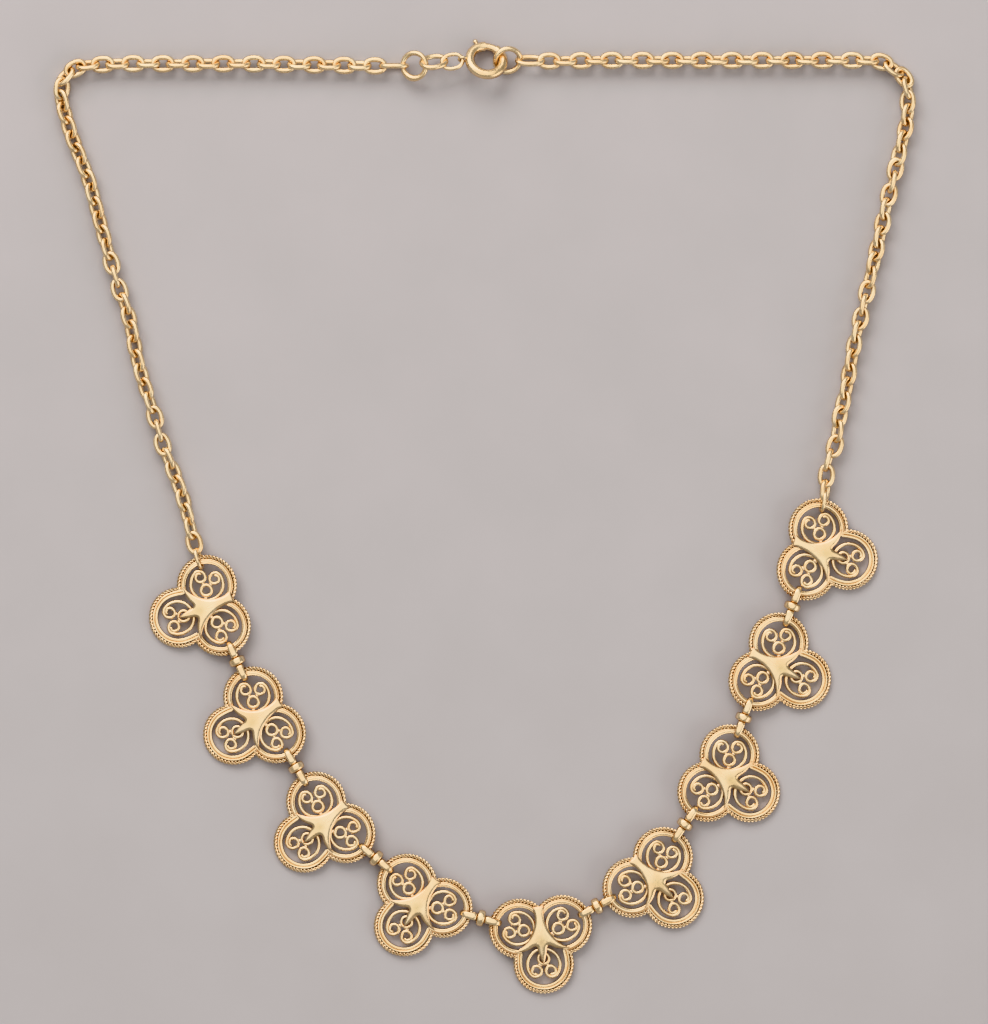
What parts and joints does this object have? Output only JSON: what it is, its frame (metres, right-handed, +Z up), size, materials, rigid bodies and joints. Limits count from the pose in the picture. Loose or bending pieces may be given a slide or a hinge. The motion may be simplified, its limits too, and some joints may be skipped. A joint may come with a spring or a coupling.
{
  "type": "drapery necklace",
  "caption": "Fastened gold necklace lying flat: openwork trefoil plaques with rope edges and wire scrolls on turned connectors, a fine cable chain and a bolt-ring clasp.",
  "frame": {"origin": "middle of the outline of the lying necklace, on the surface that it rests on", "axes": "+Z up from the surface, +Y from the middle plaque towards the clasp, +X to the right as seen from above"},
  "size_m": [0.1254, 0.1383, 0.004],
  "materials": {
    "plaque_gold": "satin yellow gold, polished on the raised edges, darker in the recesses",
    "connector_gold": "polished yellow gold",
    "chain_gold": "polished yellow gold wire",
    "clasp_gold": "polished yellow gold"
  },
  "bodies": {
    "necklace": {"plaque_1": "plaque_gold", "plaque_2": "plaque_gold", "plaque_3": "plaque_gold", "plaque_4": "plaque_gold", "plaque_5": "plaque_gold", "plaque_6": "plaque_gold", "plaque_7": "plaque_gold", "plaque_8": "plaque_gold", "plaque_9": "plaque_gold", "connector_1": "connector_gold", "connector_2": "connector_gold", "connector_3": "connector_gold", "connector_4": "connector_gold", "connector_5": "connector_gold", "connector_6": "connector_gold", "connector_7": "connector_gold", "connector_8": "connector_gold", "chain_left": "chain_gold", "chain_right": "chain_gold", "end_link_left": "chain_gold", "end_link_right": "chain_gold", "catch_ring": "clasp_gold", "clasp_link_a": "clasp_gold", "clasp_link_b": "clasp_gold", "clasp_ring": "clasp_gold", "jump_ring": "clasp_gold"},
    "bolt": {"clasp_bolt": "clasp_gold"}
  },
  "joints": [
    {"name": "clasp_bolt_slide", "type": "hinge", "parent": "necklace", "child": "bolt", "pos_m": [0.00022, 0.0659, 0.00193], "axis": [0.1306, 0.4873, 0.8634], "range_deg": [0, 40], "stiffness_Nm_per_rad": 0.0005, "springref_deg": -57.3}
  ]
}
